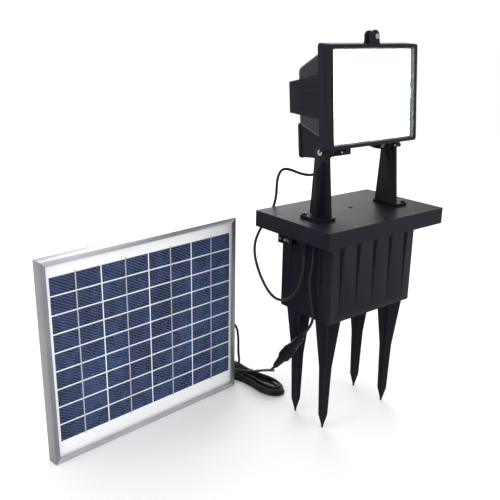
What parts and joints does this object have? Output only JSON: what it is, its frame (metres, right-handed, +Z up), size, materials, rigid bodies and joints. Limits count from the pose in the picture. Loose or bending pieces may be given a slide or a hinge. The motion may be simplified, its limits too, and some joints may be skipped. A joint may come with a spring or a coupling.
{
  "type": "solar garden floodlight",
  "caption": "Garden floodlight on two uprights over a battery box with ground stakes, with a separate framed solar panel joined by a hanked lead.",
  "frame": {"origin": "on the ground, under the middle of the bounding box of the light, battery box and panel without the free leads", "axes": "+Z up, +X along the long side of the battery box, the lamp faces -Y"},
  "size_m": [0.5788, 0.3258, 0.611],
  "materials": {
    "lamp_shell": "satin textured black powder coat",
    "upright_plastic": "satin moulded",
    "box_plastic": "fine-grained moulded black",
    "fitting_plastic": "satin",
    "switch_grip": "satin",
    "zinc": "zinc plated",
    "fibre": "matte",
    "gasket": "matte",
    "clear_glass": "clear polished",
    "reflector_metal": "hammered bright",
    "board": "satin solder mask",
    "led_white": "glossy",
    "part_dark": "satin",
    "battery_case": "satin",
    "lead_tab": "dull",
    "anodised": "satin anodised",
    "cell_blue": "dark blue polycrystalline",
    "ribbon": "tinned",
    "white_sheet": "satin",
    "lead_black": "satin"
  },
  "bodies": {
    "base": {"upright_left": "upright_plastic", "upright_right": "upright_plastic", "lid": "box_plastic", "battery_tub": "box_plastic", "stake_back_right": "box_plastic", "stake_back_left": "box_plastic", "stake_front_right": "box_plastic", "stake_front_left": "box_plastic", "lamp_lead_gland": "fitting_plastic", "panel_lead_gland": "fitting_plastic", "junction_gland": "fitting_plastic", "panel_junction_box": "fitting_plastic", "junction_box_cover": "fitting_plastic", "connector_socket": "fitting_plastic", "connector_plug": "fitting_plastic", "switch_housing": "fitting_plastic", "hank_tie": "fitting_plastic", "lid_screws": "zinc", "foot_screws": "zinc", "pivot_screws": "zinc", "pivot_nuts": "zinc", "switch_screws": "zinc", "lid_gasket": "gasket", "panel_glass": "clear_glass", "controller_board": "board", "controller_parts": "part_dark", "battery": "battery_case", "battery_tabs": "lead_tab", "panel_rail_bottom": "anodised", "panel_rail_top": "anodised", "panel_rail_left": "anodised", "panel_rail_right": "anodised", "solar_cells": "cell_blue", "cell_ribbons": "ribbon", "panel_backsheet": "white_sheet", "lamp_lead": "lead_black", "box_lead": "lead_black", "drop_lead": "lead_black", "panel_lead": "lead_black", "lead_hank": "lead_black"},
    "lamp_head": {"lamp_housing": "lamp_shell", "pivot_washers": "fibre", "hinge_pins": "zinc", "housing_gasket": "gasket", "reflector": "reflector_metal", "led_board": "board", "led_driver": "part_dark", "led_emitters": "led_white", "cable_box_cover": "lamp_shell", "cable_box_screws": "zinc", "terminal_block": "fitting_plastic", "lamp_head_gland": "fitting_plastic"},
    "front_door": {"front_frame": "lamp_shell", "front_glass": "clear_glass", "glass_clips": "zinc", "clasp_screw": "zinc"},
    "switch": {"switch_slider": "switch_grip"},
    "coupling_nut": {"union_nut": "fitting_plastic"}
  },
  "joints": [
    {"name": "lamp_tilt", "type": "hinge", "parent": "base", "child": "lamp_head", "pos_m": [0.16392, -0.05596, 0.4415], "axis": [1, 0, 0], "range_deg": [-45, 30], "deforming": ["lamp_lead"]},
    {"name": "front_frame_hinge", "type": "hinge", "parent": "lamp_head", "child": "front_door", "pos_m": [0.16392, -0.08481, 0.44453], "axis": [1, 0, 0], "range_deg": [0, 95]},
    {"name": "switch_slide", "type": "slide", "parent": "base", "child": "switch", "axis": [0, 1, 0], "range_m": [0, 0.005]},
    {"name": "union_nut_turn", "type": "hinge", "parent": "base", "child": "coupling_nut", "pos_m": [0.05675, -0.03264, 0.12277], "axis": [-0.1261, 0.5801, -0.8048], "range_deg": [0, 360]}
  ]
}
